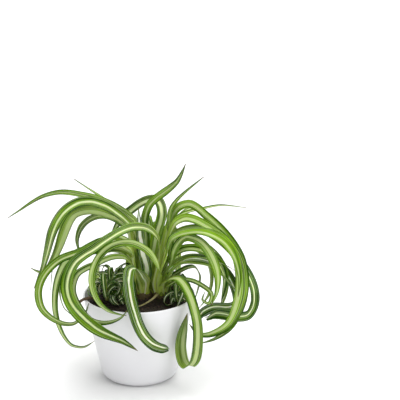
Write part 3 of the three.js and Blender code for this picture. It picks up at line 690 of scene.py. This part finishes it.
def carried_frames(points, outward):
    """Frames for a blade that leaves its root straight up, carried along its route without a twist."""
    before = Vector((0, 0, 1))
    across = Vector(outward).cross(before).normalized()
    sideways, upwards = [], []
    for index in range(len(points)):
        along = before
        if index > 0:
            along = (points[min(index + 1, len(points) - 1)] - points[index - 1]).normalized()
        across = before.rotation_difference(along) @ across
        sideways.append(across.copy())
        upwards.append(across.cross(along).normalized())
        before = along
    return sideways, upwards


# Operators


class PLANT_OT_pot(bpy.types.Operator):
    """Turn the tapered pot with its rounded foot and thin lip"""

    bl_idname = "plant.pot"
    bl_label = "Pot"

    def execute(self, context):
        looks = context.scene.plant_pot
        slope = (RIM_RADIUS - looks.foot_radius) / POT_HEIGHT
        lean = math.degrees(math.atan(slope))
        tangent = looks.foot_round / math.tan(math.radians((90 + lean) / 2))
        flat = looks.foot_radius - tangent
        lip = looks.lip_round
        inner = RIM_RADIUS - looks.wall
        inner_foot = looks.foot_radius + slope * 12 * MM - looks.wall
        profile = [(0, 0), (flat * 0.55, 0)]
        profile += arc((flat, looks.foot_round), looks.foot_round, -90, -lean, 12)
        profile += arc((RIM_RADIUS - lip, POT_HEIGHT - lip), lip, 0, 90, 5)
        profile += arc((inner + lip, POT_HEIGHT - lip), lip, 90, 180, 5)
        profile += [(inner_foot, 12 * MM), (inner_foot - 5 * MM, 3.5 * MM), (0, 3.5 * MM)]
        piece = finish_piece(spun(profile, looks.sides), "pot_glazed", [glaze_material(looks)])
        settle(piece, "pot")
        return {"FINISHED"}


class PLANT_OT_soil(bpy.types.Operator):
    """Fill the pot with uneven soil and scatter crumbs on it"""

    bl_idname = "plant.soil"
    bl_label = "Soil"

    def execute(self, context):
        looks = context.scene.plant_soil
        pot = context.scene.plant_pot
        slope = (RIM_RADIUS - pot.foot_radius) / POT_HEIGHT
        edge = RIM_RADIUS - pot.wall - slope * (POT_HEIGHT - SOIL_TOP) - 0.5 * MM
        rings = 44
        profile = [(0, 5 * MM), (edge - 24 * MM, 5 * MM), (edge - slope * 70 * MM, SOIL_TOP - 70 * MM)]
        profile += [(edge * (rings - i) / rings, SOIL_TOP - 1.5 * MM) for i in range(rings + 1)]
        bm = spun(profile, 150)
        for vert in bm.verts:
            if vert.co.z > SOIL_TOP - 2 * MM:
                vert.co.z += self.unevenness(vert.co, edge, looks.roughness)
        self.scatter(bm, looks, edge)
        piece = finish_piece(bm, "soil_crumbly", [soil_material(looks)])
        settle(piece, "soil")
        return {"FINISHED"}

    @staticmethod
    def unevenness(place, edge, height):
        """Bumps that die out at the pot's wall, and a mound round each crown."""
        radius = math.hypot(place.x, place.y)
        fade = 1 - smooth_step(radius, edge * 0.93, edge)
        coarse = noise.fractal(Vector((place.x, place.y, 0.3)) * 90, 0.9, 2.2, 5)
        nearest = min(math.hypot(place.x - x * MM, place.y - y * MM) for x, y in CROWN_PLACES.values())
        mound = MOUND_HEIGHT * (1 - smooth_step(nearest, MOUND_NEAR, MOUND_FAR))
        return fade * (0.9 * MM + height * coarse * 0.7) + mound

    def scatter(self, bm, looks, edge):
        draw = random.Random(CRUMB_SEED)
        for _ in range(looks.crumbs):
            radius = edge * 0.95 * math.sqrt(draw.random())
            angle = draw.uniform(0, 2 * math.pi)
            place = Vector((radius * math.cos(angle), radius * math.sin(angle), 0))
            size = 0.6 * MM + 1.5 * MM * draw.random() ** 3
            place.z = SOIL_TOP - 1.5 * MM + self.unevenness(place, edge, looks.roughness) + size * 0.2
            turn = Matrix.Rotation(draw.uniform(0, math.pi), 4, Vector((draw.random(), draw.random(), 1)))
            squash = Matrix.Diagonal((draw.uniform(0.7, 1.5), 1, draw.uniform(0.5, 0.9), 1))
            shape = Matrix.Translation(place) @ turn @ squash
            verts = bmesh.ops.create_icosphere(bm, subdivisions=2, radius=size, matrix=shape)["verts"]
            for vert in verts:
                vert.co += (vert.co - place) * noise.noise(vert.co * 900) * 0.5


class PLANT_OT_crowns(bpy.types.Operator):
    """Stand the crowns in the soil, with green and dried leaf bases round them and a fallen strand"""

    bl_idname = "plant.crowns"
    bl_label = "Crowns"

    def execute(self, context):
        dry = dry_material("dried_sheath", *SHEATH_TONES)
        group = bpy.data.node_groups.get("blade_markings") or markings_group()
        green = blade_material("leaf_base", group, *BASE_GREENS, 0.8, 0.2)
        for name, (x, y) in CROWN_PLACES.items():
            draw = random.Random(name)
            for kind, count, material in (("dried", DRIED_SHEATHS, dry), ("green", GREEN_SHEATHS, green)):
                bm = bmesh.new()
                for index in range(count):
                    self.add_sheath(bm, draw, index / count, x, y, kind == "green")
                piece = finish_piece(bm, name + "_" + kind + "_bases", [material])
                thicken(piece, 0.4 * MM)
                settle(piece, name)
            stub = spun([(0, CROWN_FOOT), (7, CROWN_FOOT), (CROWN_RADIUS - 0.6, 92.5),
                         (CROWN_RADIUS - 1.4, 95), (0, 95.4)], 48)
            bmesh.ops.scale(stub, vec=(MM, MM, MM), verts=stub.verts)
            bmesh.ops.translate(stub, vec=(x * MM, y * MM, 0), verts=stub.verts)
            uv_layer = stub.loops.layers.uv.new("blade")
            for face in stub.faces:
                for loop in face.loops:
                    turn = math.atan2(loop.vert.co.y - y * MM, loop.vert.co.x - x * MM)
                    loop[uv_layer].uv = (turn / math.pi, loop.vert.co.z * 30)
            base = finish_piece(stub, name + "_stub", [dry])
            settle(base, None)
        self.lay_strand(dry_material("dry_strand", *STRAND_TONES))
        return {"FINISHED"}

    @staticmethod
    def lay_strand(material):
        """A dried leaf that has fallen from a crown over the soil."""
        points = [Vector(place) * MM for place in FALLEN_STRAND]
        sideways, upwards = carried_frames(points, (points[-1] - points[0]).normalized())
        bm = bmesh.new()
        widths = [2.4 * MM, 2.6 * MM, 2.2 * MM, 1.6 * MM, 0.5 * MM]
        add_blade(bm, points, sideways, upwards, widths, 4, 6, 0.5 * MM, (0.3, 0.3, 0.5, 0.5), 1.7)
        piece = finish_piece(bm, "crown_a_fallen_strand", [material])
        thicken(piece, 0.3 * MM)
        settle(piece, None)

    @staticmethod
    def add_sheath(bm, draw, share, x, y, green):
        """The base of a leaf: it hugs the stub, then leans out, and a dried one ends in a torn tip."""
        angle = (share + draw.uniform(-0.02, 0.02)) * 2 * math.pi
        outward = Vector((math.cos(angle), math.sin(angle), 0))
        reach = CROWN_RADIUS - 0.6 - (1.4 if green else 0) + draw.uniform(0, 1.2)
        height = draw.uniform(9, 19) if green else draw.uniform(4, 11)
        flare = draw.uniform(0, 4) if green else draw.choice((-3.5, -2.5, -1.5, 5))
        heights = ((-4, -0.4), (1, 0.4), (height * 0.45, 0.6 + flare * 0.2), (height, 0.6 + flare))
        points = [(Vector((x, y, CROWN_TOP / MM + z)) + outward * (reach + r)) * MM for z, r in heights]
        sideways, upwards = carried_frames(points, outward)
        widths = [5.0 * MM, 6.4 * MM, draw.uniform(4.4, 5.8) * MM, draw.uniform(0.4, 1.2) * MM]
        draws = (0.3, 0.3, draw.random(), 0.5)
        add_blade(bm, points, sideways, upwards, widths, 6, 5, 0.5 * MM, draws, share * 9, 0.9)


class PLANT_OT_leaves(bpy.types.Operator):
    """Lay a fine, striped blade along each long leaf"""

    bl_idname = "plant.leaves"
    bl_label = "Long leaves"

    def execute(self, context):
        looks = context.scene.plant_leaf
        group = bpy.data.node_groups.get("blade_markings") or markings_group()
        top = blade_material("leaf_upper_face", group, looks.fresh, looks.deep, looks.stripe, 1.0, 0.1)
        pale_deep = tuple(0.15 * pale + 0.85 * deep for pale, deep in zip(looks.pale, looks.deep))
        under = blade_material("leaf_underside", group, looks.pale, pale_deep, looks.stripe, 0.9, 0.1)
        draw = random.Random(LEAF_SEED)
        for index, name in enumerate(LEAF_NAMES):
            drawn = tuple(draw.uniform(*limits) for limits in STRIPE_RANGE)
            half_width, strength, offset = STRIPES.get(name, drawn)
            shade = SHADES.get(name, draw.uniform(*SHADE_RANGE))
            spine, sideways, upwards, widths = read_blade(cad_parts[name])
            blunt = name in BLUNT_LEAVES
            widths = broad_root(ended(with_tail(widths, TAILS.get(name, 0.0)), blunt))
            bm = bmesh.new()
            add_blade(bm, spine, sideways, upwards, widths, looks.columns, looks.steps, looks.wave,
                      (half_width, strength, shade, offset), index * 3.7, blunt=blunt)
            piece = finish_piece(bm, name + "_blade", [top, under])
            thicken(piece, looks.thickness, underside=1)
            settle(piece, name)
        return {"FINISHED"}


class PLANT_OT_plantlets(bpy.types.Operator):
    """Stand the small curled plantlets in the soil"""

    bl_idname = "plant.plantlets"
    bl_label = "Plantlets"

    def execute(self, context):
        looks = context.scene.plant_leaf
        group = bpy.data.node_groups.get("blade_markings") or markings_group()
        fresh = tuple(0.4 * fresh + 0.6 * deep for fresh, deep in zip(looks.fresh, looks.deep))
        material = blade_material("plantlet_leaf", group, fresh, looks.deep, looks.stripe, 0.95, 0.1)
        for name, row in PLANTLETS.items():
            bm = bmesh.new()
            draw = draws_from(row["seed"])
            for place in row["places"]:
                for index in range(PLANTLET_BLADES):
                    self.add_curl(bm, place, index, 0.5 * next(draw), 0.85 + 0.3 * next(draw), SWIRL)
            inner = random.Random(row["seed"])
            for place in row["places"]:
                for _ in range(LOOPS):
                    self.add_loop(bm, place, inner, row["lush"])
            piece = finish_piece(bm, name + "_blades", [material])
            thicken(piece, 0.35 * MM)
            settle(piece, name)
        return {"FINISHED"}

    @staticmethod
    def add_curl(bm, place, index, offset, scale, swirl):
        """One leaf of a plantlet: it arches out, swirls and rolls in again."""
        x, y, size = place
        angle = (index + offset) / PLANTLET_BLADES * 2 * math.pi
        grown = size * scale
        tall = grown * (1.6 if index % 2 == 0 else 1.1)
        base = SOIL_TOP / MM + 4
        points = [Vector((x + 1.5 * math.cos(angle), y + 1.5 * math.sin(angle), base - 2)) * MM]
        for step, (out, height) in enumerate(CURL):
            turn = angle + swirl * step / len(CURL)
            points.append(Vector((x + out * grown * math.cos(turn), y + out * grown * math.sin(turn),
                                  base + height * tall)) * MM)
        sideways, upwards = carried_frames(points, Vector((math.cos(angle), math.sin(angle), 0)))
        shares = (0.8, 1.0, 1.15, 1.2, 1.1, 0.9, 0.6, 0.12)
        widths = [PLANTLET_WIDTH * MM * share for share in shares]
        draws = (0.2, 1.0, 0.45 + 0.45 * offset, 0.5)
        add_blade(bm, points, sideways, upwards, widths, 4, 5, 0.2 * MM, draws, index * 2.3, 0.6)

    @staticmethod
    def add_loop(bm, place, draw, lush):
        """One leaf of a plantlet that rolls into an open ring, leaning to one side."""
        x, y, size = place
        angle = draw.uniform(0, 2 * math.pi)
        outward = Vector((math.cos(angle), math.sin(angle), 0))
        lean = Matrix.Rotation(draw.uniform(-0.9, 0.9), 3, outward)
        radius = draw.uniform(5, 9.5) * size * lush
        rise = draw.uniform(1, 13) * size
        base = Vector((x, y, SOIL_TOP / MM + 2))
        points = [base * MM, (base + Vector((0, 0, rise))) * MM]
        sweep = draw.uniform(4.2, 6.0)
        for step in range(8):
            turn = math.pi - sweep * step / 7
            tightening = 1 - 0.35 * step / 7
            offset = outward * (1 + math.cos(turn) * tightening)
            offset += Vector((0, 0, math.sin(turn) * tightening + 0.4))
            points.append((base + Vector((0, 0, rise)) + lean @ offset * radius) * MM)
        for point in points:
            point.z = max(point.z, SOIL_TOP + 1.5 * MM)
        sideways, upwards = carried_frames(points, outward)
        shares = (0.6, 0.8, 1.0, 1.1, 1.1, 1.0, 0.9, 0.75, 0.5, 0.12)
        widths = [PLANTLET_WIDTH * MM * LOOP_FULLNESS * share for share in shares]
        draws = (0.24, 1.1, draw.uniform(0.4, 0.9), 0.5)
        add_blade(bm, points, sideways, upwards, widths, 4, 5, 0.2 * MM, draws, angle, 0.6)


class PLANT_OT_runner(bpy.types.Operator):
    """Lay the cut end of an old runner over the rim"""

    bl_idname = "plant.runner"
    bl_label = "Runner"

    def execute(self, context):
        points = [Vector(point) * MM for point in RUNNER_ROUTE]
        bm = bmesh.new()
        uv_layer = bm.loops.layers.uv.new("blade")
        rings, steps, sides = [], 40, 14
        for index in range(steps + 1):
            place = (len(points) - 1) * index / steps
            centre = blend_points(points, place)
            ahead = blend_points(points, min(place + 0.05, len(points) - 1))
            behind = blend_points(points, max(place - 0.05, 0))
            turn = (ahead - behind).to_track_quat("Z", "Y").to_matrix().to_4x4()
            knot = 1 + 0.25 * math.exp(-((index / steps - RUNNER_KNOT) / 0.03) ** 2)
            radius = RUNNER_FULLNESS * RUNNER_RADIUS * MM * knot * (1 + 0.08 * noise.noise(centre * 500))
            made = bmesh.ops.create_circle(bm, segments=sides, radius=radius,
                                           matrix=Matrix.Translation(centre) @ turn)["verts"]
            rings.append(made)
        for first, second in zip(rings, rings[1:]):
            edges = [edge for ring in (first, second) for vert in ring for edge in vert.link_edges
                     if edge.other_vert(vert) in ring]
            bmesh.ops.bridge_loops(bm, edges=list(set(edges)))
        for ring in (rings[0], rings[-1]):
            bmesh.ops.contextual_create(bm, geom=ring)
        bmesh.ops.recalc_face_normals(bm, faces=bm.faces)
        for face in bm.faces:
            for loop in face.loops:
                loop[uv_layer].uv = (loop.vert.co.z * 60, loop.vert.co.x * 40)
        piece = finish_piece(bm, "runner_stub_dry", [dry_material("dry_stalk", *STALK_TONES)])
        settle(piece, "runner_stub")
        return {"FINISHED"}


class PLANT_OT_stage(bpy.types.Operator):
    """Set the floor, the soft lights and the camera"""

    bl_idname = "plant.stage"
    bl_label = "Stage"

    def execute(self, context):
        looks = context.scene.plant_stage
        bm = bmesh.new()
        bmesh.ops.create_grid(bm, x_segments=2, y_segments=2, size=FLOOR_SIZE)
        floor = finish_piece(bm, "floor", [floor_material(looks)], smooth=False)
        for name, (place, size, power) in LIGHTS.items():
            self.add_light(name, place, size, power)
        self.add_sun(context.scene)
        self.set_world(context.scene)
        camera = bpy.data.cameras.new("camera")
        camera.lens = looks.lens
        camera.sensor_width = 36
        camera.clip_end = 60
        viewer = bpy.data.objects.new("camera", camera)
        viewer.location = looks.place
        viewer.rotation_euler = (math.pi / 2 - looks.pitch, 0, -looks.yaw)
        context.scene.collection.objects.link(viewer)
        context.scene.camera = viewer
        context.scene.view_settings.view_transform = "Standard"
        return {"FINISHED"}

    @staticmethod
    def add_light(name, place, size, power):
        """A square soft light that looks at the middle of the plant."""
        light = bpy.data.lights.new(name, "AREA")
        light.size = size
        light.energy = power
        holder = bpy.data.objects.new(name, light)
        holder.location = place
        aim = Vector(LIGHTS_AIM) - Vector(place)
        holder.rotation_euler = aim.to_track_quat("-Z", "Y").to_euler()
        bpy.context.scene.collection.objects.link(holder)

    @staticmethod
    def add_sun(scene):
        """A very soft light from high behind, as even over the whole floor as daylight."""
        light = bpy.data.lights.new("overhead", "SUN")
        light.energy = SUN_STRENGTH
        light.angle = SUN_SPREAD
        holder = bpy.data.objects.new("overhead", light)
        holder.rotation_euler = (math.radians(-10), math.radians(7), 0)
        scene.collection.objects.link(holder)

    @staticmethod
    def set_world(scene):
        world = bpy.data.worlds.new("soft_white")
        world.use_nodes = True
        background = world.node_tree.nodes["Background"]
        background.inputs["Color"].default_value = (1, 1, 1, 1)
        background.inputs["Strength"].default_value = WORLD_STRENGTH
        scene.world = world


class PLANT_PT_panel(bpy.types.Panel):
    """Lists the steps that build the plant"""

    bl_label = "Curly Spider Plant"
    bl_idname = "PLANT_PT_panel"
    bl_space_type = "VIEW_3D"
    bl_region_type = "UI"
    bl_category = "Plant"

    def draw(self, context):
        for step in STEPS:
            self.layout.operator(step.bl_idname)


STEPS = (PLANT_OT_stage, PLANT_OT_pot, PLANT_OT_soil, PLANT_OT_crowns, PLANT_OT_leaves,
         PLANT_OT_plantlets, PLANT_OT_runner)
LOOKS = {"plant_pot": PotLooks, "plant_soil": SoilLooks, "plant_leaf": LeafLooks, "plant_stage": StageLooks}


def register():
    for kind in (*LOOKS.values(), *STEPS, PLANT_PT_panel):
        bpy.utils.register_class(kind)
    for name, kind in LOOKS.items():
        setattr(bpy.types.Scene, name, PointerProperty(type=kind))


def unregister():
    for name in LOOKS:
        delattr(bpy.types.Scene, name)
    for kind in reversed((*LOOKS.values(), *STEPS, PLANT_PT_panel)):
        bpy.utils.unregister_class(kind)


def main():
    register()
    bpy.ops.plant.stage()
    bpy.ops.plant.pot()
    bpy.ops.plant.soil()
    bpy.ops.plant.crowns()
    bpy.ops.plant.leaves()
    bpy.ops.plant.plantlets()
    bpy.ops.plant.runner()


if __name__ == "__main__":
    main()
